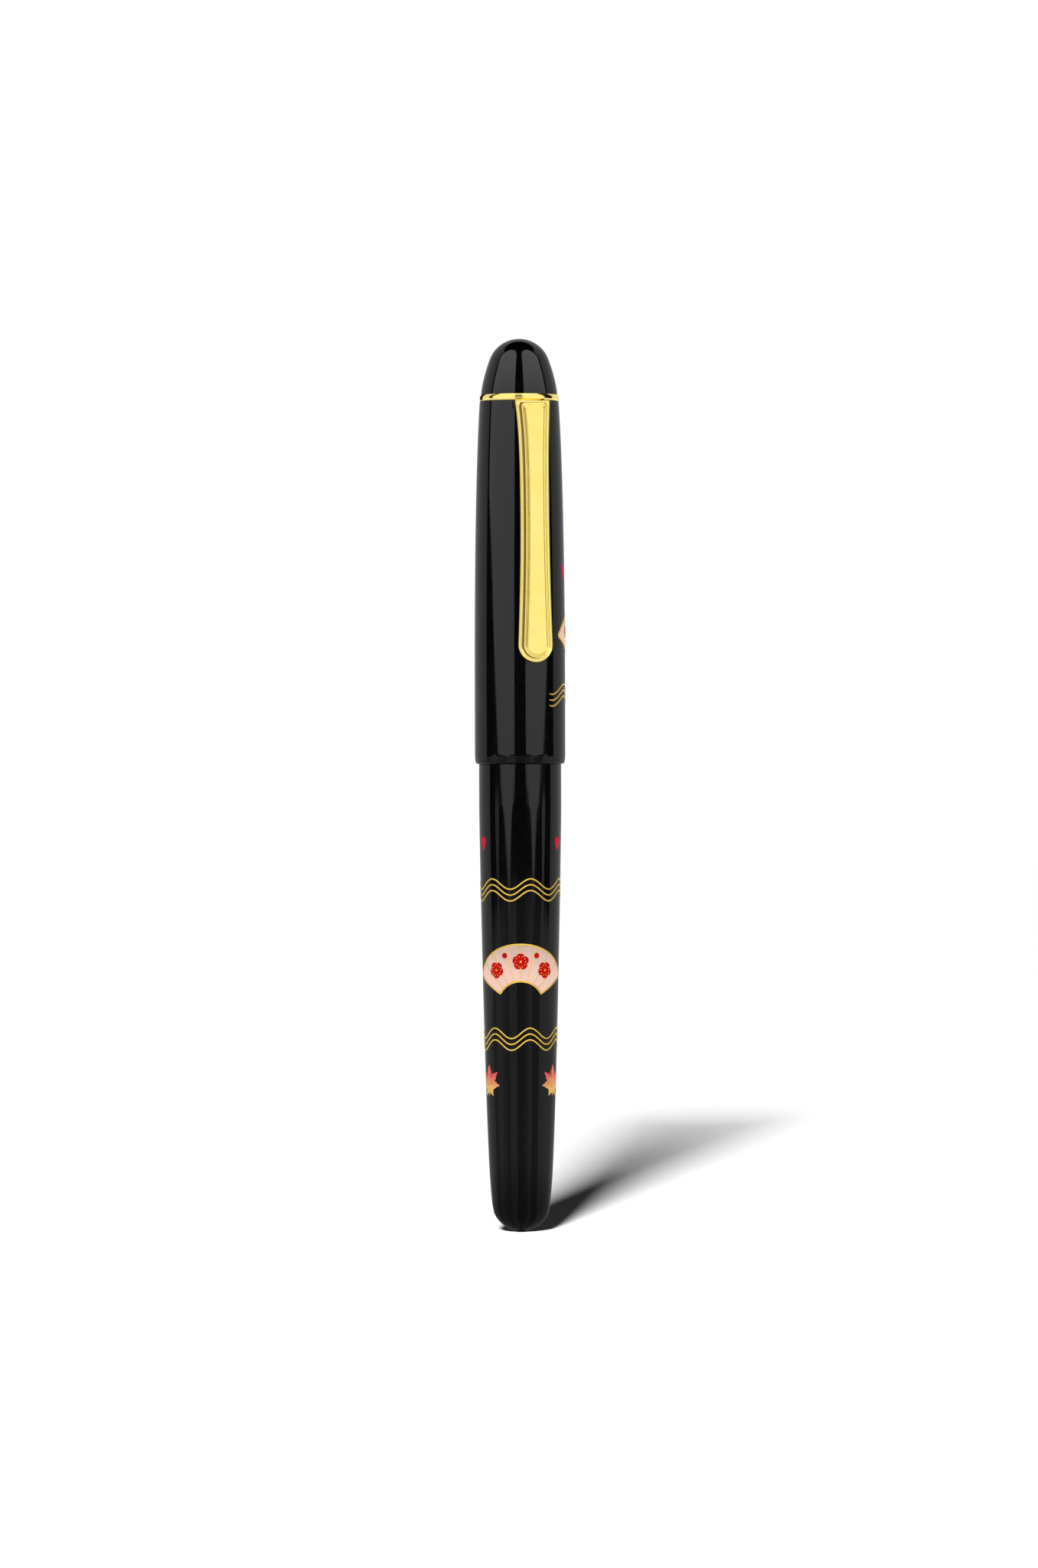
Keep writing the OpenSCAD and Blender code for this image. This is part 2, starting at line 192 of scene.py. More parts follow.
class Shader:
    """A node material round one Principled shader."""

    def __init__(self, name, color, roughness, metallic=0.0, ior=1.5):
        self.material = bpy.data.materials.new(name)
        self.material.use_nodes = True
        self.tree = self.material.node_tree
        self.bsdf = self.tree.nodes["Principled BSDF"]
        self.put("Base Color", (*color, 1))
        self.put("Roughness", roughness)
        self.put("Metallic", metallic)
        self.put("IOR", ior)
        self.place = self.tree.nodes.new("ShaderNodeTexCoord").outputs["Object"]

    def put(self, socket, value):
        self.bsdf.inputs[socket].default_value = value

    def link(self, output, target):
        self.tree.links.new(output, target)

    def noise(self, size_mm, detail=3.0, stretch=(1, 1, 1)):
        """Noise whose features are about this many millimetres across."""
        shift = self.tree.nodes.new("ShaderNodeMapping")
        shift.inputs["Scale"].default_value = stretch
        self.link(self.place, shift.inputs["Vector"])
        noise = self.tree.nodes.new("ShaderNodeTexNoise")
        noise.inputs["Scale"].default_value = 1 / (size_mm * MM)
        noise.inputs["Detail"].default_value = detail
        self.link(shift.outputs["Vector"], noise.inputs["Vector"])
        return noise.outputs["Fac"]

    def spread(self, output, low, high, from_low=0.3, from_high=0.7):
        """Maps a value that runs between two numbers to two others."""
        node = self.tree.nodes.new("ShaderNodeMapRange")
        node.inputs["From Min"].default_value = from_low
        node.inputs["From Max"].default_value = from_high
        node.inputs["To Min"].default_value = low
        node.inputs["To Max"].default_value = high
        self.link(output, node.inputs["Value"])
        return node.outputs["Result"]

    def ramp(self, output, stops):
        """Colours along a value, as (place, colour) stops."""
        node = self.tree.nodes.new("ShaderNodeValToRGB")
        marks = node.color_ramp.elements
        while len(marks) < len(stops):
            marks.new(0.5)
        for mark, (place, color) in zip(marks, stops):
            mark.position = place
            mark.color = (*color, 1)
        self.link(output, node.inputs["Fac"])
        return node.outputs["Color"]

    def vary_roughness(self, output, low, high):
        self.link(self.spread(output, low, high), self.bsdf.inputs["Roughness"])

    def bump(self, output, depth_mm, strength=1.0):
        node = self.tree.nodes.new("ShaderNodeBump")
        node.inputs["Distance"].default_value = depth_mm * MM
        node.inputs["Strength"].default_value = strength
        self.link(output, node.inputs["Height"])
        self.link(node.outputs["Normal"], self.bsdf.inputs["Normal"])

    def color(self, output):
        self.link(output, self.bsdf.inputs["Base Color"])

    def along(self, direction, start_mm, end_mm):
        """A value from 0 to 1 between two distances along a direction."""
        dot = self.tree.nodes.new("ShaderNodeVectorMath")
        dot.operation = "DOT_PRODUCT"
        dot.inputs[1].default_value = direction
        self.link(self.place, dot.inputs[0])
        return self.spread(dot.outputs["Value"], 0, 1, start_mm * MM, end_mm * MM)

    def sum(self, first, second, amount):
        """first plus an amount of second."""
        node = self.tree.nodes.new("ShaderNodeMath")
        node.operation = "MULTIPLY_ADD"
        node.inputs[1].default_value = amount
        self.link(second, node.inputs[0])
        self.link(first, node.inputs[2])
        return node.outputs["Value"]


def black_lacquer():
    """Deep polished lacquer with the faint unevenness that hand polishing leaves."""
    shader = Shader("black_lacquer", (0.003, 0.003, 0.0035), 0.06)
    shader.color(shader.ramp(shader.noise(0.6), [(0.3, (0.002, 0.002, 0.0025)),
                                                 (0.75, (0.005, 0.0048, 0.0055))]))
    shader.vary_roughness(shader.noise(5, 4), 0.045, 0.085)
    shader.bump(shader.noise(0.35, 2), 0.0006)
    return shader.material


def gilt():
    """Polished gold plate with fine rubbing marks."""
    shader = Shader("gilt", (1.0, 0.8, 0.24), 0.1, metallic=1)
    shader.color(shader.ramp(shader.noise(2.5), [(0.25, (1.0, 0.78, 0.2)),
                                                 (0.75, (1.0, 0.83, 0.27))]))
    shader.vary_roughness(shader.noise(1.2, 5), 0.07, 0.16)
    shader.bump(shader.noise(0.5, 3), 0.0008)
    return shader.material


def painted_gold():
    """Gold powder laid in lacquer: grainy, with lighter and browner grains."""
    shader = Shader("painted_gold", (0.85, 0.58, 0.15), 0.35, metallic=0.9)
    shader.color(shader.ramp(shader.noise(0.12, 4), [(0.2, (0.5, 0.3, 0.03)),
                                                     (0.5, (0.8, 0.52, 0.07)),
                                                     (0.8, (0.95, 0.72, 0.18))]))
    shader.vary_roughness(shader.noise(0.2, 3), 0.28, 0.5)
    shader.bump(shader.noise(0.08, 2), 0.004)
    return shader.material


def flat_lacquer(name, dark, bright):
    """Opaque coloured lacquer with slight mottling and a soft sheen."""
    shader = Shader(name, bright, 0.35)
    shader.put("Specular IOR Level", 0.04)
    shader.color(shader.ramp(shader.noise(0.35, 4), [(0.3, dark), (0.65, bright)]))
    shader.vary_roughness(shader.noise(0.15, 3), 0.3, 0.5)
    shader.bump(shader.noise(0.12, 3), 0.003)
    return shader.material


def fan_ground(name, foot_z, top_z):
    """Pink lacquer that shades into grey metal powder towards the fan's edge."""
    shader = Shader(name, (0.83, 0.6, 0.53), 0.45)
    shader.put("Specular IOR Level", 0.25)
    cloudy = shader.sum(shader.along((0, 0, 1), foot_z, top_z), shader.noise(2, 3), 0.45)
    grainy = shader.sum(cloudy, shader.noise(0.13, 2), 0.7)
    grainy = shader.spread(grainy, 0, 1, 0.1, 1.6)
    shader.color(shader.ramp(grainy, [(0.4, (0.62, 0.41, 0.34)), (0.9, (0.36, 0.26, 0.21)),
                                      (1, (0.15, 0.12, 0.1))]))
    shader.bump(shader.noise(0.1, 3), 0.003)
    return shader.material


def gold_to_red(name, low_z, high_z):
    """Paint that runs from gold at its foot to red at its top."""
    shader = Shader(name, (0.6, 0.3, 0.1), 0.4, metallic=0.3)
    shader.put("Specular IOR Level", 0.2)
    rise = shader.along((0, 0, 1), low_z, high_z)
    grainy = shader.sum(shader.sum(rise, shader.noise(0.8, 3), 0.3), shader.noise(0.12, 2), 0.3)
    shader.color(shader.ramp(grainy, [(0.35, (0.72, 0.47, 0.08)), (0.7, (0.62, 0.28, 0.12)),
                                      (1, (0.55, 0.06, 0.08))]))
    shader.bump(shader.noise(0.1, 3), 0.004)
    return shader.material


def metal(name, dark, bright, low, high, stretch=(1, 1, 1)):
    """Bare metal with fine turning or drawing marks along the stretch."""
    shader = Shader(name, bright, low, metallic=1)
    grain = shader.noise(0.25, 5, stretch)
    shader.color(shader.ramp(grain, [(0.3, dark), (0.7, bright)]))
    shader.vary_roughness(grain, low, high)
    shader.bump(grain, 0.002)
    return shader.material


def plain(name, dark, bright, low, high, size_mm, depth_mm):
    """Plastic, rubber or fibre: mottled, with a fine surface texture."""
    shader = Shader(name, bright, low)
    texture = shader.noise(size_mm, 5)
    shader.color(shader.ramp(texture, [(0.3, dark), (0.7, bright)]))
    shader.vary_roughness(texture, low, high)
    shader.bump(texture, depth_mm)
    return shader.material


LACQUER = black_lacquer()
GILT = gilt()
# Gilt darkened to brown, used only as painted shade in the clip's grooves and on the foot of its
# raised wall.
GILT_PAINTED_SHADE = metal("gilt_painted_shade", (0.1, 0.06, 0.015), (0.3, 0.19, 0.05), 0.3, 0.45)
GOLD_PAINT = painted_gold()
RED = flat_lacquer("red_lacquer", (0.3, 0.001, 0.002), (0.44, 0.002, 0.004))
CRIMSON = flat_lacquer("crimson_lacquer", (0.33, 0.0, 0.012), (0.5, 0.001, 0.03))
BARREL_FAN = fan_ground("barrel_fan_ground", 39, 47)
CAP_FAN = fan_ground("cap_fan_ground", 91, 97)
MAPLE_PAINT = gold_to_red("maple_paint", 21, 25.5)
BRASS = metal("brass", (0.55, 0.4, 0.17), (0.75, 0.58, 0.28), 0.25, 0.4, (1, 1, 9))
STEEL = metal("steel", (0.55, 0.56, 0.58), (0.78, 0.79, 0.8), 0.12, 0.25, (1, 1, 9))
SPRING_STEEL = metal("spring_steel", (0.35, 0.35, 0.37), (0.55, 0.55, 0.57), 0.25, 0.4)
LINER = plain("liner_plastic", (0.12, 0.12, 0.13), (0.18, 0.18, 0.19), 0.5, 0.65, 0.3, 0.004)
REFILL_PLASTIC = plain("refill_plastic", (0.025, 0.025, 0.03), (0.045, 0.045, 0.05), 0.22, 0.35,
                       0.6, 0.002)
RUBBER = plain("seal_rubber", (0.035, 0.035, 0.035), (0.06, 0.06, 0.06), 0.7, 0.85, 0.15, 0.01)
INK_FIBRE = plain("ink_fibre", (0.015, 0.03, 0.2), (0.05, 0.07, 0.32), 0.8, 0.95, 0.08, 0.03)
FEED_FIBRE = plain("feed_fibre", (0.68, 0.68, 0.64), (0.86, 0.86, 0.82), 0.8, 0.95, 0.08, 0.03)


# Turned pieces of the pen

PLUG_SEAM_Z = 2.98
DOME = (0, 4.72)
DOME_R = 4.57
SEAM_R = math.sqrt(DOME_R ** 2 - (DOME[1] - PLUG_SEAM_Z) ** 2)
STRAIGHT_Z = LIP_Z - 6.3
TAPER = [(4.62, 5.8), (5.4, 12), (BARREL_R, STRAIGHT_Z - 4.5), (BARREL_R, STRAIGHT_Z)]
CAP_STRAIGHT_Z = LIP_Z + 11.7
CAP_TAPER = [(CAP_R, CAP_STRAIGHT_Z), (CAP_R, CAP_STRAIGHT_Z + 30),
             (6.31, CAP_TOP_Z - 3), (6.11, CAP_TOP_Z)]
EDGE = 0.08


def barrel_outline():
    """Barrel shell: taper, straight stretch, shoulder, neck, groove and the bore."""
    neck_r, groove_z = 5.85, LIP_Z + 11.7
    return (
        [(3.0, PLUG_SEAM_Z), (SEAM_R - 0.03, PLUG_SEAM_Z), (SEAM_R, PLUG_SEAM_Z + 0.03)]
        + [(4.45, 4.1), (4.56, 5.0)] + bezier(TAPER, 64)
        + [(BARREL_R, LIP_Z - 3), (BARREL_R, LIP_Z - EDGE)]
        + arc((BARREL_R - EDGE, LIP_Z - EDGE), EDGE, 0, 90, 4)
        + [(neck_r + 0.05, LIP_Z), (neck_r, LIP_Z + 0.05), (neck_r, groove_z - EDGE),
           (neck_r - EDGE, groove_z), (5.6, groove_z + 0.02), (5.6, MOUTH_Z - EDGE),
           (5.6 - EDGE, MOUTH_Z), (5.0, MOUTH_Z), (5.0, MOUTH_Z - 8), (3.6, MOUTH_Z - 8),
           (3.6, 6.0), (3.0, 6.0)])


def plug_outline():
    """Domed plug at the barrel's tail, with a small flat that the pen stands on."""
    low = -math.degrees(math.acos(1 / DOME_R))
    high = -math.degrees(math.acos((SEAM_R - 0.05) / DOME_R))
    return ([(0, 0), (0.8, 0)] + arc(DOME, DOME_R, low, high, 36)
            + [(4.2, PLUG_SEAM_Z), (3.0, PLUG_SEAM_Z), (3.0, 6.0), (0, 6.0)])


def cap_outline():
    """Cap shell: rounded lip, straight stretch, taper to the ring, and the bores."""
    snap_low, snap_high = LIP_Z + 11.85, LIP_Z + 13.55
    return (
        [(5.9, LIP_Z + 0.06), (5.96, LIP_Z)]
        + arc((6.5, LIP_Z + 0.41), 0.41, -90, -9.5, 12)
        + arc((CAP_R - 7, LIP_Z + 1.5), 7, -9.5, 0, 20)
        + [(CAP_R, LIP_Z + 8)] + bezier(CAP_TAPER, 72)
        + [(2.0, CAP_TOP_Z), (2.0, CAP_TOP_Z - 1.3), (5.6, CAP_TOP_Z - 1.3),
           (5.6, CAP_TOP_Z - 24.3), (5.8, CAP_TOP_Z - 24.3), (5.8, snap_high),
           (6.2, snap_high), (6.2, snap_low), (5.9, snap_low)])


def crown_outline():
    """Bullet-shaped crown: a curve that runs into a rounded top."""
    nose_r, drop = 4.85, 3.2
    angle = math.degrees(math.asin((nose_r - drop) / nose_r))
    blend_r = nose_r * math.cos(math.radians(angle))
    blend_z = CROWN_TOP_Z - drop
    flank = [(5.92, CROWN_Z + 0.05), (5.7, CROWN_Z + 2.4), (blend_r, blend_z)]
    return ([(1.6, CROWN_Z), (5.87, CROWN_Z)] + bezier(flank, 28)[:-1]
            + arc((0, CROWN_TOP_Z - nose_r), nose_r, angle, 90, 36)
            + [(0, CROWN_Z + 3.3), (1.6, CROWN_Z + 3.3)])


def ring_outline():
    """Ring of the clip, with a bulged edge."""
    middle = (RING_Z + CROWN_Z) / 2
    edge = bezier([(RING_R - 0.16, RING_Z), (RING_R + 0.16, middle),
                   (RING_R - 0.16, CROWN_Z)], 20)
    return [(1.7, RING_Z), (RING_R - 0.21, RING_Z)] + edge + [(RING_R - 0.21, CROWN_Z),
                                                              (1.7, CROWN_Z)]


def bead_outline():
    """Gilt ring between barrel and grip, with rounded edges."""
    top = SHOULDER_Z - 0.02
    return ([(4.35, MOUTH_Z), (BEAD_R - 0.3, MOUTH_Z)]
            + arc((BEAD_R - 0.25, MOUTH_Z + 0.25), 0.25, -90, 0, 8)
            + arc((BEAD_R - 0.25, top - 0.25), 0.25, 0, 90, 8)
            + [(4.35, top)])


def grip_outline():
    """Grip: threaded tail, long taper to a waist and a small lip before the nose."""
    waist_z, lip_z, thread_top = NOSE_Z - 6, NOSE_Z - 1.8, MOUTH_Z - 0.4
    rows = int((thread_top - GRIP_TAIL_Z - 0.4) / 0.1)
    thread = [(4.3, GRIP_TAIL_Z + 0.2 + 0.1 * i) for i in range(rows)]
    return (
        [(3.3, GRIP_TAIL_Z), (4.0, GRIP_TAIL_Z)] + thread
        + [(4.3, MOUTH_Z - 0.3), (4.3, SHOULDER_Z), (5.38, SHOULDER_Z)]
        + bezier([(5.45, SHOULDER_Z + 0.07), (5.35, SHOULDER_Z + 8), (4.5, waist_z - 8),
                  (4.5, waist_z)], 40)
        + bezier([(4.51, waist_z + 1), (4.55, lip_z - 1.5), (4.72, lip_z - 1),
                  (4.72, lip_z)], 14)
        + bezier([(4.72, lip_z + 0.1), (4.7, lip_z + 0.9), (4.44, NOSE_Z)], 8)
        + [(3.0, NOSE_Z), (3.0, NOSE_Z - 5.5), (3.3, NOSE_Z - 5.5)])


def thread_relief(radius, height, angle):
    """Cuts the screw thread into the grip's tail: 0.8 mm a turn, 0.25 mm deep."""
    if height > MOUTH_Z - 0.45 or abs(radius - 4.3) > 0.01:
        return 0
    phase = (height / 0.8 - angle / TURN) % 1
    return -0.25 * abs(2 * phase - 1)


def collar_outline():
    """Gilt nose: a short band, then a long taper to the point's hole."""
    return (
        [(2.4, NOSE_Z - 5), (3.0, NOSE_Z - 5), (3.0, NOSE_Z), (4.25, NOSE_Z)]
        + arc((4.2, NOSE_Z + 0.15), 0.15, -60, 0, 5) + [(4.35, NOSE_Z + 0.45), (4.2, NOSE_Z + 0.6)]
        + bezier([(4.3, NOSE_Z + 0.75), (3.85, NOSE_Z + 3), (2.5, NOSE_TOP_Z - 2.5),
                  (1.75, NOSE_TOP_Z - 0.3)], 30)
        + arc((1.6, NOSE_TOP_Z - 0.15), 0.15, 0, 90, 5)
        + [(1.35, NOSE_TOP_Z), (1.35, NOSE_TOP_Z - 7.38), (2.4, NOSE_TOP_Z - 7.38)])


def cut_clip_slot(cap):
    """Cuts the slot for the clip's root out of the top of the cap's shell."""
    root_half, depth, height = 2.95, 5.55, 1.25
    low, high = CAP_TOP_Z - height, CAP_TOP_Z + 1
    corners = [(x, y, z) for z in (low, high) for y in (-8, -depth)
               for x in (-root_half, root_half)]
    faces = [(0, 2, 3, 1), (4, 5, 7, 6), (0, 1, 5, 4), (2, 6, 7, 3), (0, 4, 6, 2), (1, 3, 7, 5)]
    cutter = make_piece("slot_cutter", corners, faces, LACQUER)
    cut = cap.modifiers.new("slot", "BOOLEAN")
    cut.operation = "DIFFERENCE"
    cut.solver = "EXACT"
    cut.object = cutter
    shown = cap.evaluated_get(bpy.context.evaluated_depsgraph_get())
    solid = bpy.data.meshes.new_from_object(shown)
    cap.modifiers.clear()
    cap.data = solid
    solid.set_sharp_from_angle(angle=math.radians(35))
    bpy.data.objects.remove(cutter)


def build_turned_pieces():
    turned("barrel_shell_skin", barrel_outline(), LACQUER, "barrel",
           "barrel_shell")
    turned("barrel_end_plug_skin", plug_outline(), LACQUER, "barrel",
           "barrel_end_plug")
    cap = turned("cap_shell_skin", cap_outline(), LACQUER, "cap", "cap_shell")
    cut_clip_slot(cap)
    turned("cap_crown_skin", crown_outline(), LACQUER, "cap", "cap_crown")
    turned("clip_ring_skin", ring_outline(), GILT, "cap", "clip_ring")
    turned("section_ring_skin", bead_outline(), GILT, "section_carrier", "section_ring")
    turned("grip_section_skin", grip_outline(), LACQUER, "section",
           "grip_section", thread_relief, 96)
    turned("nose_collar_skin", collar_outline(), GILT, "section", "nose_collar")


# Clip

CLIP_BACK = [(7.5, CAP_TOP_Z - 24.3), (7.25, CAP_TOP_Z - 10.3), (6.9, CAP_TOP_Z - 2.7),
             (6.2, CLIP_TOP_Z)]
CLIP_FOOT = (7.6, CLIP_END_Z - 1)
CLIP_WAIST_Z = CAP_TOP_Z - 16.3
CLIP_FOOT_R = 2.75
CLIP_SIDE_STEPS = 44
# Rows of side faces that get the painted shade: the wall at the raised panel's foot and two thin
# grooves.
CLIP_PAINTED_SHADE_ROWS = (7, 8, 9, 15, 19)
CLIP_ARC_STEPS = 18


def depth_at(curve, height):
    """Where a curve of (depth, height) points passes a height, by halving."""
    low, high = 0.0, 1.0
    for _ in range(30):
        middle = (low + high) / 2
        if bezier_point(curve, middle)[1] < height:
            low = middle
        else:
            high = middle
    return bezier_point(curve, low)[0]


def clip_back(height):
    """How far in front of the axis the clip's back lies at a height."""
    bend_z = CLIP_BACK[0][1]
    if height > bend_z:
        return depth_at(CLIP_BACK, height)
    share = (bend_z - height) / (bend_z - CLIP_FOOT[1])
    return mix(CLIP_BACK[0][0], CLIP_FOOT[0], share)


def clip_half_width(height):
    """Half the clip's width at a height: widest at its root and its foot."""
    if height > CLIP_WAIST_Z:
        rise = (height - CLIP_WAIST_Z) / (CLIP_TOP_Z - CLIP_WAIST_Z)
        return 2.3 + 0.5 * rise ** 3
    fall = (CLIP_WAIST_Z - height) / (CLIP_WAIST_Z - CLIP_END_Z - CLIP_FOOT_R)
    return 2.3 + 0.45 * fall ** 2


def clip_loop(inset, layer, top_drop=0.0, corner=0.0):
    """One loop of points round the clip, this far in from its edge and in front of its back."""
    centre_z = CLIP_END_Z + CLIP_FOOT_R
    top_z = CLIP_TOP_Z - top_drop
    left = []
    for i in range(CLIP_SIDE_STEPS):
        height = top_z - (top_z - centre_z) * (i / CLIP_SIDE_STEPS) ** 1.25
        half = clip_half_width(height) - inset
        below = top_z - height
        if below < corner:
            half -= corner - math.sqrt(corner ** 2 - (corner - below) ** 2)
        left.append((-half, height))
    foot = arc((0, centre_z), CLIP_FOOT_R - inset, 180, 360, 2 * CLIP_ARC_STEPS + 1)
    right = [(-x, z) for x, z in reversed(left)]
    return [(x, -(clip_back(z) + layer), z) for x, z in left + foot + right]


def nub(verts, faces):
    """Rounded bump on the clip's back that grips the cloth."""
    foot_z = CLIP_END_Z + 3.6
    rings, segments = 8, 20
    base = clip_back(foot_z) + 0.1
    first = len(verts)
    for i in range(rings):
        angle = math.radians(90 * i / (rings - 1))
        reach, drop = 1.0 * math.cos(angle), 0.68 * math.sin(angle)
        for k in range(segments):
            turn = TURN * k / segments
            verts.append((reach * math.cos(turn), -(base - drop), foot_z + reach * math.sin(turn)))
    for i in range(rings - 1):
        for k in range(segments):
            j = (k + 1) % segments
            a, b = first + i * segments, first + (i + 1) * segments
            faces.append((a + k, a + j, b + j, b + k))
    faces.append(tuple(first + k for k in reversed(range(segments))))
    faces.append(tuple(first + (rings - 1) * segments + k for k in range(segments)))


def tab(verts, faces):
    """Tongue at the clip's root that goes into the cap's slot."""
    half, inner, outer = 2.7, 5.65, 6.5
    low, high = CLIP_TOP_Z - 1, CLIP_TOP_Z - 0.02
    first = len(verts)
    verts += [(x, -y, z) for z in (low, high) for y in (outer, inner) for x in (-half, half)]
    sides = [(0, 2, 3, 1), (4, 5, 7, 6), (0, 1, 5, 4), (2, 6, 7, 3), (0, 4, 6, 2), (1, 3, 7, 5)]
    faces += [tuple(first + c for c in side) for side in sides]


def build_clip():
    """The clip: a plate with a rounded edge, a raised panel and a flat set into a bevel, with
    painted shade in its grooves.
    """
    loops = [
        clip_loop(0.12, 0.0), clip_loop(0.03, 0.04), clip_loop(0.0, 0.14),
        clip_loop(0.0, 0.5), clip_loop(0.03, 0.6), clip_loop(0.1, 0.67), clip_loop(0.2, 0.7),
        clip_loop(0.55, 0.7, 0.3, 0.2), clip_loop(0.58, 0.72, 0.34, 0.3),
        clip_loop(0.6, 0.78, 0.36, 0.4), clip_loop(0.62, 1.3, 0.4, 0.5),
        clip_loop(0.64, 1.39, 0.42, 0.5), clip_loop(0.7, 1.45, 0.48, 0.5),
        clip_loop(0.78, 1.48, 0.56, 0.5), clip_loop(0.85, 1.49, 0.64, 0.5),
        clip_loop(0.88, 1.45, 0.68, 0.5), clip_loop(0.9, 1.45, 0.7, 0.5),
        clip_loop(0.93, 1.5, 0.74, 0.5), clip_loop(1.1, 1.54, 0.82, 0.4),
        clip_loop(1.14, 1.5, 0.86, 0.35), clip_loop(1.16, 1.5, 0.88, 0.3),
        clip_loop(1.2, 1.57, 0.92, 0.3), clip_loop(1.26, 1.6, 0.98, 0.2),
        clip_loop(1.4, 1.6, 1.1, 0.2)]
    count = len(loops[0])
    verts = [v for loop in loops for v in loop]
    faces = []
    for k in range(len(loops) - 1):
        for i in range(count):
            j = (i + 1) % count
            faces.append((k * count + i, k * count + j, (k + 1) * count + j, (k + 1) * count + i))
    last = (len(loops) - 1) * count
    for i in range(count // 2 - 1):
        faces.append((i, count - 1 - i, count - 2 - i, i + 1))
        faces.append((last + i, last + i + 1, last + count - 2 - i, last + count - 1 - i))
    nub(verts, faces)
    tab(verts, faces)
    clip = make_piece("clip_arm_skin", verts, faces, GILT, 40)
    # Painted shade: darker gilt on the wall and groove rows.
    clip.data.materials.append(GILT_PAINTED_SHADE)
    for k in CLIP_PAINTED_SHADE_ROWS:
        for side in range(k * count, (k + 1) * count):
            clip.data.polygons[side].material_index = 1
    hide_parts("clip_arm")
    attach(clip, "clip")


# Painting on the unrolled surface

SUNK = -0.02


def barrel_radius(height):
    """Outer radius of the barrel at a height."""
    return BARREL_R if height > STRAIGHT_Z else depth_at(TAPER, height)


def cap_radius(height):
    """Outer radius of the cap at a height above its lip."""
    return CAP_R if height < CAP_STRAIGHT_Z else depth_at(CAP_TAPER, height)


class Paint:
    """Gathers strokes and patches of one colour, and wraps them on a turned surface."""

    def __init__(self, name, material, radius_at, body):
        self.name, self.material = name, material
        self.radius_at, self.body = radius_at, body
        self.verts, self.faces, self.radii = [], [], {}

    def add(self, u, z, height):
        key = round(z, 2)
        if key not in self.radii:
            self.radii[key] = self.radius_at(key)
        angle = u / self.radii[key]
        reach = self.radii[key] + height
        ahead, aside = reach * math.cos(angle), reach * math.sin(angle)
        self.verts.append((ahead * FACING[0] + aside * RIGHTWARD[0],
                           ahead * FACING[1] + aside * RIGHTWARD[1], z))
        return len(self.verts) - 1

    def stroke(self, path, width=0.26, height=0.05, ends=0.3, taper=0.12):
        """A raised line with a domed top, thinner towards its ends."""
        count = len(path)
        profile = [(-0.5, SUNK), (-0.36, 0.7 * height), (0, height), (0.36, 0.7 * height),
                   (0.5, SUNK)]
        rings = []
        for i, (u, z) in enumerate(path):
            before, after = path[max(i - 1, 0)], path[min(i + 1, count - 1)]
            along = Vector((after[0] - before[0], after[1] - before[1]))
            if along.length < 1e-9:
                continue
            along.normalize()
            share = i / (count - 1)
            inward = min(1.0, min(share, 1 - share) / taper)
            wide = width * (ends + (1 - ends) * math.sqrt(inward))
            rings.append([self.add(u - along.y * side * wide, z + along.x * side * wide, rise)
                          for side, rise in profile])
        for low, high in zip(rings, rings[1:]):
            for k in range(len(profile)):
                j = (k + 1) % len(profile)
                self.faces.append((low[k], low[j], high[j], high[k]))
        self.faces.append(tuple(reversed(rings[0])))
        self.faces.append(tuple(rings[-1]))

    def dot(self, u, z, radius, height, segments):
        """A small domed dot."""
        steps = [(1.0, SUNK), (0.96, 0.55 * height), (0.75, 0.88 * height), (0.4, 0.98 * height)]
        rings = []
        for share, rise in steps:
            ring = []
            for k in range(segments):
                angle = TURN * k / segments
                ring.append(self.add(u + share * radius * math.cos(angle),
                                     z + share * radius * math.sin(angle), rise))
            rings.append(ring)
        top = self.add(u, z, height)
        for low, high in zip(rings, rings[1:]):
            for k in range(segments):
                j = (k + 1) % segments
                self.faces.append((low[k], low[j], high[j], high[k]))
        for k in range(segments):
            self.faces.append((rings[-1][k], rings[-1][(k + 1) % segments], top))
        self.faces.append(tuple(reversed(rings[0])))

    def patch(self, outline, height=0.035, spacing=0.45, lip=0.18):
        """A raised area inside an outline, with a rounded lip and a closed underside."""
        border = resample(outline, spacing * 0.6)
        count = len(border)
        inner = [p for p in grid_inside(border, spacing) if off_edge(p, border) > spacing * 0.45]
        points = [Vector(p) for p in border + inner]
        edges = [(i, (i + 1) % count) for i in range(count)]
        flat, _, triangles, _, _, _ = delaunay_2d_cdt(points, edges, [], 1, 1e-6)
        tops, lows = [], []
        for p in flat:
            share = min(1.0, off_edge(p, border) / lip)
            rise = height * (0.35 + 0.65 * math.sin(share * math.pi / 2))
            tops.append(self.add(p[0], p[1], rise))
            lows.append(self.add(p[0], p[1], SUNK))
        used = {}
        for a, b, c in triangles:
            self.faces.append((tops[a], tops[b], tops[c]))
            self.faces.append((lows[c], lows[b], lows[a]))
            for edge in ((a, b), (b, c), (c, a)):
                used[edge] = True
        for a, b in used:
            if (b, a) not in used:
                self.faces.append((tops[b], tops[a], lows[a], lows[b]))

    def finish(self):
        piece = make_piece(self.name, self.verts, self.faces, self.material, 50)
        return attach(piece, self.body)


def resample(outline, spacing):
    """The closed outline again, with points about this far apart."""
    made = []
    for a, b in zip(outline, outline[1:] + outline[:1]):
        length = math.dist(a, b)
        if length < 1e-6:
            continue
        steps = max(1, round(length / spacing))
        made += [mix(a, b, i / steps) for i in range(steps)]
    return made


def inside(point, border):
    """Whether a point lies inside a closed outline."""
    x, y = point
    hit = False
    for (ax, ay), (bx, by) in zip(border, border[1:] + border[:1]):
        if (ay > y) != (by > y) and x < ax + (bx - ax) * (y - ay) / (by - ay):
            hit = not hit
    return hit


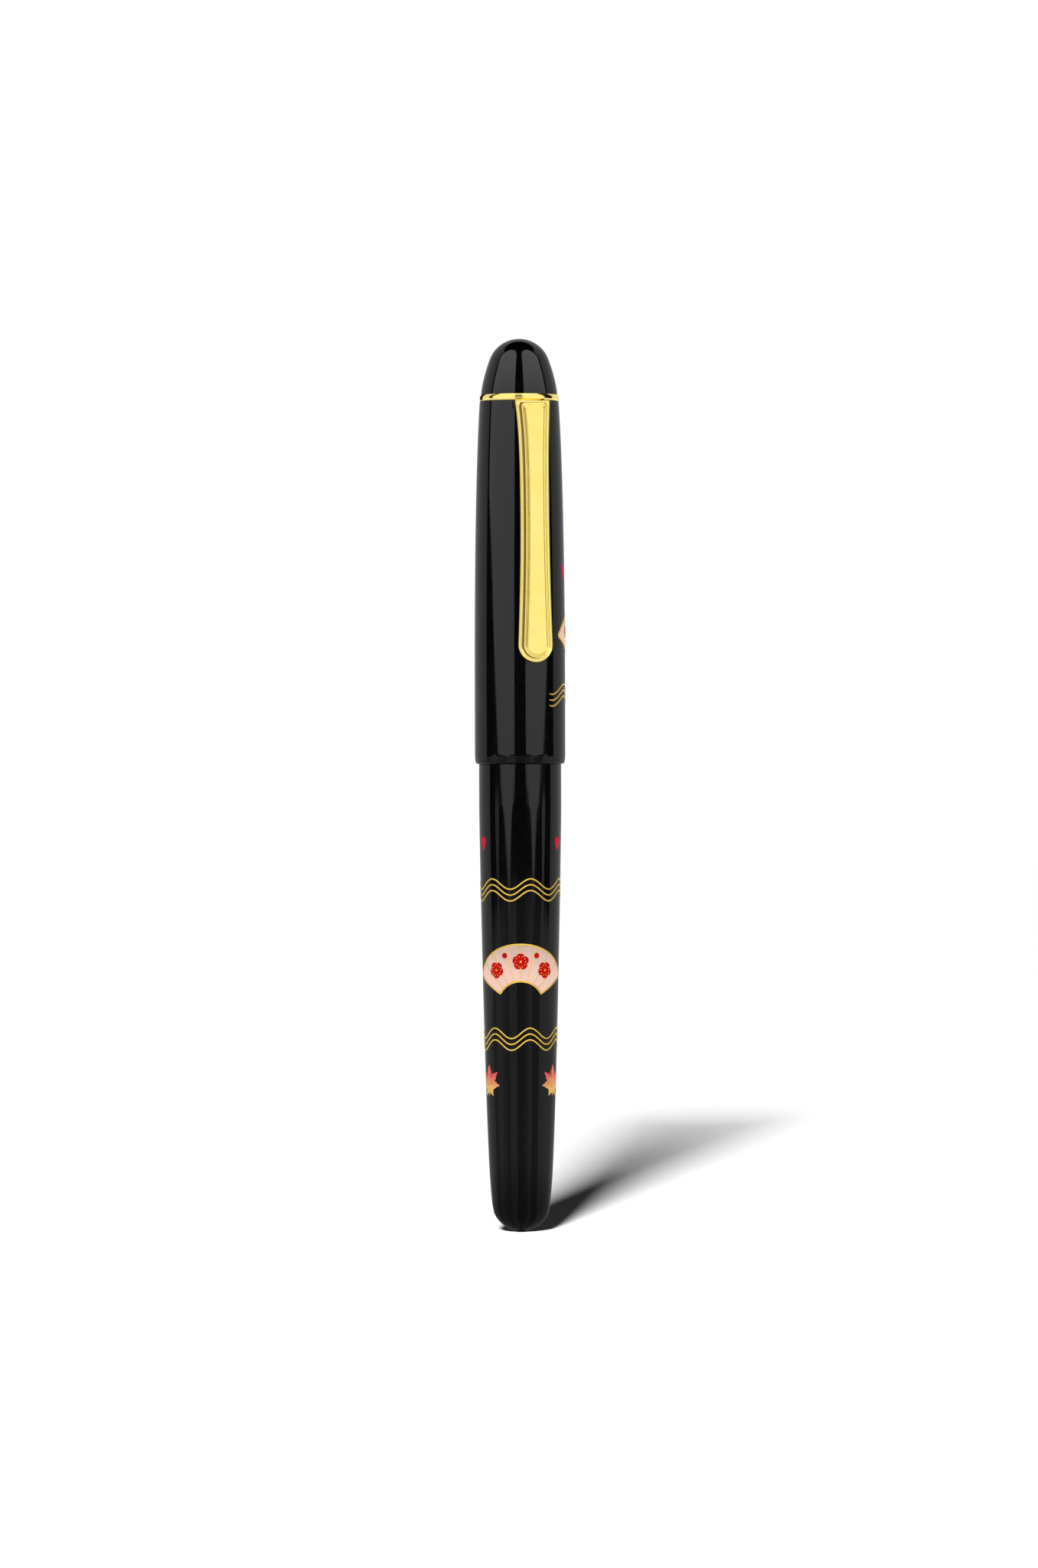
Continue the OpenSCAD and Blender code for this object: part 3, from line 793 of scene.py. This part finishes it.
def off_edge(point, border):
    """Distance from a point to the nearest of an outline's closely spaced sides."""
    px, py = point[0], point[1]
    best = 1e9
    for (ax, ay), (bx, by) in zip(border, border[1:] + border[:1]):
        dx, dy = bx - ax, by - ay
        share = ((px - ax) * dx + (py - ay) * dy) / (dx * dx + dy * dy)
        share = min(1.0, max(0.0, share))
        best = min(best, (px - ax - dx * share) ** 2 + (py - ay - dy * share) ** 2)
    return math.sqrt(best)


def grid_inside(border, spacing):
    """Points of a staggered grid that lie inside an outline."""
    us, zs = [p[0] for p in border], [p[1] for p in border]
    rows = int((max(zs) - min(zs)) / (spacing * 0.87)) + 1
    columns = int((max(us) - min(us)) / spacing) + 1
    made = []
    for row in range(rows):
        for column in range(columns):
            point = (min(us) + (column + 0.5 * (row % 2)) * spacing,
                     min(zs) + row * spacing * 0.87)
            if inside(point, border):
                made.append(point)
    return made


# Motifs

WATER_WAVES = 6
WATER_RISE = 0.8
WATER_GAP = 0.9


def water(paint, foot_z, left, right, count=3):
    """Evenly spaced wavy lines of water between two places round the pen, in degrees."""
    steps = round((right - left) / 2)
    for line in range(count):
        path = []
        for i in range(steps + 1):
            angle = math.radians(left + (right - left) * i / steps)
            z = foot_z + WATER_GAP * line + WATER_RISE * math.sin(WATER_WAVES * angle)
            path.append((angle * paint.radius_at(round(z, 2)), z))
        paint.stroke(path, 0.24, taper=0.03)


def blossom_outline(place, radius, turn):
    """Outline of a five-petalled plum blossom."""
    made = []
    for i in range(60):
        bulge = abs(math.cos(2.5 * TURN * i / 60)) ** 0.6
        made.append(polar(place, radius * (0.8 + 0.2 * bulge), turn + 6 * i))
    return made


def blossom(petals, gold, place, radius, turn):
    """A plum blossom with a ring of gold stamens round its heart."""
    petals.patch(blossom_outline(place, radius, turn), 0.075, 0.3, 0.25)
    gold.dot(*place, 0.2, 0.12, 10)
    for i in range(10):
        gold.dot(*polar(place, 0.6 * radius, 36 * i), 0.1, 0.12, 8)


MAPLE_LOBES = [(-150, 0.72), (-96, 0.84), (-48, 0.92), (0, 1.0), (48, 0.92), (96, 0.84),
               (150, 0.72)]


def maple_outline(place, size):
    """Outline of an upright seven-lobed maple leaf with toothed edges."""
    made = []
    for k, (angle, reach) in enumerate(MAPLE_LOBES):
        made += [(angle - 19, reach * 0.64), (angle - 13, reach * 0.76), (angle - 11, reach * 0.7),
                 (angle - 4.5, reach * 0.88), (angle, reach), (angle + 4.5, reach * 0.88),
                 (angle + 11, reach * 0.7), (angle + 13, reach * 0.76), (angle + 19, reach * 0.64)]
        if k < len(MAPLE_LOBES) - 1:
            made.append(((angle + MAPLE_LOBES[k + 1][0]) / 2, 0.5))
    made.append((180, 0.14))
    return [polar(place, size * reach, 90 + angle) for angle, reach in made]


def maple(paint, gold, place, size):
    """An upright maple leaf with gold veins and a short stem."""
    paint.patch(maple_outline(place, size), 0.05, 0.3, 0.12)
    for angle, reach in MAPLE_LOBES:
        end = polar(place, 0.85 * size * reach, 90 + angle)
        gold.stroke([mix(place, end, i / 8) for i in range(9)], 0.13, 0.09, 0.35, 0.5)
    stem = polar(place, 0.6 * size, -90)
    gold.stroke([mix(place, stem, i / 6) for i in range(7)], 0.24)


def petal_outline(place, length):
    """A notched cherry petal with its point down."""
    shape = [(1.0, 0), (0.55, 0.2), (0.1, 0.42), (-0.5, 0.5), (-0.86, 0.36), (-0.98, 0.16),
             (-0.68, 0.0), (-0.98, -0.16), (-0.86, -0.36), (-0.5, -0.5), (0.1, -0.42),
             (0.55, -0.2)]
    return [(place[0] + 0.62 * length * y, place[1] - 0.5 * length * x)
            for x, y in closed_spline(shape, 4)]


def barrel_paint(name, material):
    """Paint that lies on the barrel."""
    return Paint("barrel_" + name, material, barrel_radius, "barrel")


def cap_paint(name, material):
    """Paint that lies on the cap."""
    return Paint("cap_" + name, material, cap_radius, "cap")


def folding_fan(ground, gold, red, pivot, outer_r):
    """An open upright fan with even ribs, three blossoms and two buds."""
    inner_r = 0.4 * outer_r
    outline = arc(pivot, outer_r, 150, 30, 60) + arc(pivot, inner_r, 30, 150, 34)
    ground.patch(outline, 0.035, 0.5)
    edge = resample(outline, 0.4)
    gold.stroke(edge + edge[:1], 0.3, 0.07, 1.0)
    for rib in range(1, 8):
        ends = [polar(pivot, radius, 150 - 15 * rib) for radius in (inner_r, outer_r)]
        gold.stroke([mix(*ends, i / 10) for i in range(11)], 0.14, 0.06, 1.0)
    for angle in (126, 90, 54):
        blossom(red, gold, polar(pivot, 0.72 * outer_r, angle), 0.14 * outer_r, angle)
    for angle in (108, 72):
        red.dot(*polar(pivot, 0.86 * outer_r, angle), 0.45, 0.1, 18)


def decorate(paint_on, fan_paint, waters, fans, maples, petals):
    """Generic painting on one body: water, fans, maple leaves and loose petals."""
    gold = paint_on("gold", GOLD_PAINT)
    for foot_z, left, right in waters:
        water(gold, foot_z, left, right)
    ground, red = paint_on("fan_ground", fan_paint), paint_on("blossoms", RED)
    for pivot, outer_r in fans:
        folding_fan(ground, gold, red, pivot, outer_r)
    leaf, petal = paint_on("maple_leaves", MAPLE_PAINT), paint_on("petals", CRIMSON)
    for place in maples:
        maple(leaf, gold, place, 3)
    for place in petals:
        petal.patch(petal_outline(place, 2.2), 0.06, 0.3, 0.3)
    for paint in (gold, ground, red, leaf, petal):
        if paint.faces:
            paint.finish()


def paint_decoration():
    """Both painted bodies. The left of the cap stays plain."""
    decorate(barrel_paint, BARREL_FAN, [(52, -176, 176), (29, -176, 176)],
             [((0, 35), 9.5), ((18.5, 35), 9.5)], [(-6, 23), (6, 23), (17.5, 23)],
             [(-7, 60), (7, 60), (20, 60)])
    decorate(cap_paint, CAP_FAN, [(82, 40, 170)], [((14, 88), 8)], [], [(9, 102), (19, 102)])


# Inner pieces keep their CAD shapes and get finished materials

INNER = {
    "barrel_bush": BRASS, "crown_stud": BRASS, "refill_spring": SPRING_STEEL,
    "cap_snap_ring": SPRING_STEEL, "inner_cap": LINER, "refill_tail_plug": LINER,
    "tip_seal": RUBBER, "refill_tube": REFILL_PLASTIC, "refill_head": REFILL_PLASTIC,
    "ink_reservoir": INK_FIBRE, "ink_feed": FEED_FIBRE, "refill_point": STEEL,
    "writing_ball": STEEL}


def finish_inner_pieces():
    """Gives each hidden piece its own material."""
    for node, material in INNER.items():
        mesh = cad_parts[node].data
        mesh.materials.clear()
        mesh.materials.append(material)


# Studio

CAMERA_DISTANCE = 1400
CAMERA_HEIGHT = 69.2
CAMERA_ASIDE = -0.18


def build_camera():
    """A long lens level with the pen's middle."""
    data = bpy.data.cameras.new("camera")
    data.lens = 208
    data.sensor_width = 36
    data.clip_start, data.clip_end = 0.05, 20
    camera = bpy.data.objects.new("camera", data)
    bpy.context.scene.collection.objects.link(camera)
    camera.location = Vector((FACING[0] * CAMERA_DISTANCE + RIGHTWARD[0] * CAMERA_ASIDE,
                              FACING[1] * CAMERA_DISTANCE + RIGHTWARD[1] * CAMERA_ASIDE,
                              CAMERA_HEIGHT)) * MM
    look = Vector((-FACING[0], -FACING[1], 0)).to_track_quat("-Z", "Y")
    camera.rotation_mode = "QUATERNION"
    camera.rotation_quaternion = look @ Quaternion((0, 0, 1), math.radians(-0.15))
    bpy.context.scene.camera = camera


def white_floor():
    """A wide white floor. Mirror reflections don't see it: the floor glow stands for it there."""
    half = 6000
    shader = Shader("white_floor", (0.8, 0.8, 0.8), 0.9)
    floor = make_piece("floor", [(-half, -half, 0), (half, -half, 0), (half, half, 0),
                                 (-half, half, 0)], [(0, 1, 2, 3)], shader.material)
    floor.visible_glossy = False
    floor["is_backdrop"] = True
    return floor


def glow(name, low, high, near, far, radial=False):
    """A white emitter whose radiance runs from low to high between two heights.

    A radial one runs between two distances from the pen instead."""
    material = bpy.data.materials.new(name)
    material.use_nodes = True
    tree = material.node_tree
    tree.nodes.clear()
    place = tree.nodes.new("ShaderNodeTexCoord")
    measure = tree.nodes.new("ShaderNodeVectorMath")
    measure.operation = "LENGTH" if radial else "DOT_PRODUCT"
    measure.inputs[1].default_value = (0, 0, 1)
    tree.links.new(place.outputs["Object"], measure.inputs[0])
    ramp = tree.nodes.new("ShaderNodeMapRange")
    ramp.inputs["From Min"].default_value = near * MM
    ramp.inputs["From Max"].default_value = far * MM
    ramp.inputs["To Min"].default_value = low
    ramp.inputs["To Max"].default_value = high
    tree.links.new(measure.outputs["Value"], ramp.inputs["Value"])
    light = tree.nodes.new("ShaderNodeEmission")
    tree.links.new(ramp.outputs["Result"], light.inputs["Strength"])
    out = tree.nodes.new("ShaderNodeOutputMaterial")
    tree.links.new(light.outputs["Emission"], out.inputs["Surface"])
    return material


def spot(turn, height, distance):
    """A place round the pen, by its turn from the camera in degrees."""
    angle = math.radians(turn)
    ahead, aside = distance * math.cos(angle), distance * math.sin(angle)
    return (ahead * FACING[0] + aside * RIGHTWARD[0],
            ahead * FACING[1] + aside * RIGHTWARD[1], height)


def reflected(name, verts, faces, material, linked):
    """A stage emitter that only shows in the mirror reflections of the linked pieces."""
    panel = make_piece(name, verts, faces, material)
    panel.light_linking.receiver_collection = linked
    panel.visible_camera = False
    panel.visible_diffuse = False
    panel.visible_shadow = False
    panel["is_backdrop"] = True


def strip_light(name, linked, rows, low, high, distance=600):
    """A tall soft light. Each row is its left turn, right turn and height, from the foot up."""
    steps = 12
    verts, faces = [], []
    for left, right, height in rows:
        verts += [spot(mix(left, right, i / steps), height, distance) for i in range(steps + 1)]
    for k in range(len(rows) - 1):
        first = k * (steps + 1)
        faces += [(first + i, first + i + 1, first + steps + 2 + i, first + steps + 1 + i)
                  for i in range(steps)]
    reflected(name, verts, faces, glow(name, low, high, rows[0][2], 600), linked)


def floor_glow(linked, left, right, radiance, number):
    """A sector of the bright floor, as the lower barrel mirrors it."""
    steps = max(2, round((right - left) / 6))
    turns = [mix(left, right, i / steps) for i in range(steps + 1)]
    verts = [spot(t, -1, 0.5) for t in turns] + [spot(t, -1, 1050) for t in turns]
    faces = [(i, i + 1, steps + 2 + i, steps + 1 + i) for i in range(steps)]
    name = "floor_glow_%02d" % number
    # The radiance dims towards the pen: painted shade standing for the pen's shadow on the floor
    # round its foot.
    reflected(name, verts, faces, glow(name, 0.35 * radiance, radiance, 5, 110, True), linked)


def area_light(name, place, aim, size, radiance, linked, shine=False):
    """A soft light that only the linked pieces receive."""
    data = bpy.data.lights.new(name, "AREA")
    data.shape = "RECTANGLE"
    data.size, data.size_y = size[0] * MM, size[1] * MM
    data.energy = math.pi * radiance * data.size * data.size_y
    light = bpy.data.objects.new(name, data)
    bpy.context.scene.collection.objects.link(light)
    light.location = Vector(place) * MM
    light.rotation_mode = "QUATERNION"
    light.rotation_quaternion = (Vector(aim) - Vector(place)).to_track_quat("-Z", "Y")
    light.visible_camera = False
    light.visible_glossy = shine
    light.light_linking.receiver_collection = linked


def receivers(name, pieces):
    """A collection that lights can be linked to."""
    made = bpy.data.collections.new(name)
    for piece in pieces:
        made.objects.link(piece)
    return made


def build_mirror_lights(linked):
    """What the black lacquer mirrors: two tall panels, two thin ones, walls and the floor."""
    strip_light("panel_left", linked,
                [(-33, -32, 21), (-47, -23, 50), (-50, -21, 62), (-57, -14, 72), (-68, -14, 100),
                 (-76, -14, 130), (-88, -13, 155), (-88, -13, 900), (-84, -18, 1300),
                 (-74, -26, 1700), (-62, -38, 1900)], 0.78, 1.6)
    strip_light("panel_right", linked,
                [(37, 38, 21), (29, 47, 50), (25, 52, 62), (15, 60, 72), (14, 72, 95),
                 (14, 80, 130), (14, 88, 155), (14, 88, 900), (19, 84, 1300), (27, 74, 1700),
                 (40, 62, 1900)], 0.78, 1.6)
    strip_light("thin_left", linked, [(-69, -67, 15), (-75, -62, 50), (-75, -62, 66)], 0.4, 0.4)
    strip_light("thin_right", linked, [(67, 69, 15), (63, 74, 50), (64, 74, 66)], 0.55, 0.55)
    strip_light("wall_left", linked, [(-180, -94, -20), (-180, -94, 900)], 0.42, 0.5)
    strip_light("wall_right", linked, [(94, 180, -20), (94, 180, 900)], 0.42, 0.5)
    sectors = [(-180, -97, 0.34), (-97, -82, 0.2), (-82, -60, 0.34), (-60, -46, 0.26),
               (-46, -36, 0.18), (-36, -12, 0.34), (-12, 12, 0.13), (12, 24, 0.22),
               (24, 36, 0.33), (36, 60, 0.16), (60, 100, 0.4), (100, 180, 0.34)]
    for number, (left, right, radiance) in enumerate(sectors):
        floor_glow(linked, left, right, radiance, number)


def build_bright_lights(linked):
    """White panels all round for metal and paint, with the darker gaps that the gilt mirrors."""
    for name, left, right, radiance in [
            ("bright_left", -83, -13, 1.04), ("bright_right", 10, 78, 1.04),
            ("bright_side_left", -132, -98, 0.85), ("bright_back_left", -178, -158, 0.85),
            ("bright_back_right", 112, 178, 0.85), ("bright_gap", -13, 10, 0.3)]:
        middle, half = (left + right) / 2, math.radians((right - left) / 2)
        distance = 480
        area_light(name, spot(middle, 600, distance), (0, 0, 600),
                   (2 * distance * math.tan(half), 1200), radiance, linked, True)
    area_light("bright_floor", (0, 0, 0.3), (0, 0, 70), (1200, 1200), 0.9, linked, True)
    area_light("bright_top", (0, 0, 900), (0, 0, 70), (1200, 1200), 0.9, linked, True)


def build_floor_lights(floor):
    """A low light that throws the long shadow, and a little fill in it."""
    ground = receivers("floor_receivers", [floor])
    sun = bpy.data.lights.new("low_sun", "SUN")
    sun.energy = 16.4
    sun.angle = math.radians(4.5)
    light = bpy.data.objects.new("low_sun", sun)
    bpy.context.scene.collection.objects.link(light)
    away = Vector(spot(180, -138, 498)) + Vector(spot(90, 0, 41))
    light.rotation_mode = "QUATERNION"
    light.rotation_quaternion = away.to_track_quat("-Z", "Y")
    light.visible_glossy = False
    light.light_linking.receiver_collection = ground
    area_light("floor_fill", (0, 0, 1500), (0, 0, 0), (3000, 3000), 0.05, ground)


def build_lights(floor):
    """All lights of the studio."""
    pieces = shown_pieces()
    black = receivers("black_receivers", [p for p in pieces if p.data.materials[0] is LACQUER])
    bright = receivers("bright_receivers",
                       [p for p in pieces if p.data.materials[0] is not LACQUER])
    build_mirror_lights(black)
    build_bright_lights(bright)
    build_floor_lights(floor)
    gold = receivers("gold_receivers", [p for p in pieces if p.data.materials[0] is GOLD_PAINT])
    area_light("gold_front", spot(10, 120, 900), (0, 0, 60), (900, 1200), 1.0, gold, True)
    area_light("front_soft", spot(0, 260, 950), (0, 0, 70), (900, 900), 1.2, black)
    area_light("back_soft", spot(180, 300, 950), (0, 0, 70), (900, 900), 1.2, black)


def build_backdrop():
    """A white surround that only the camera sees."""
    world = bpy.data.worlds.new("white")
    world.use_nodes = True
    world.node_tree.nodes["Background"].inputs["Color"].default_value = (1, 1, 1, 1)
    world.node_tree.nodes["Background"].inputs["Strength"].default_value = 1.05
    world.cycles_visibility.glossy = False
    world.cycles_visibility.diffuse = False
    bpy.context.scene.world = world
    bpy.context.scene.view_settings.view_transform = "Standard"


build_turned_pieces()
build_clip()
paint_decoration()
finish_inner_pieces()
build_camera()
build_lights(white_floor())
build_backdrop()
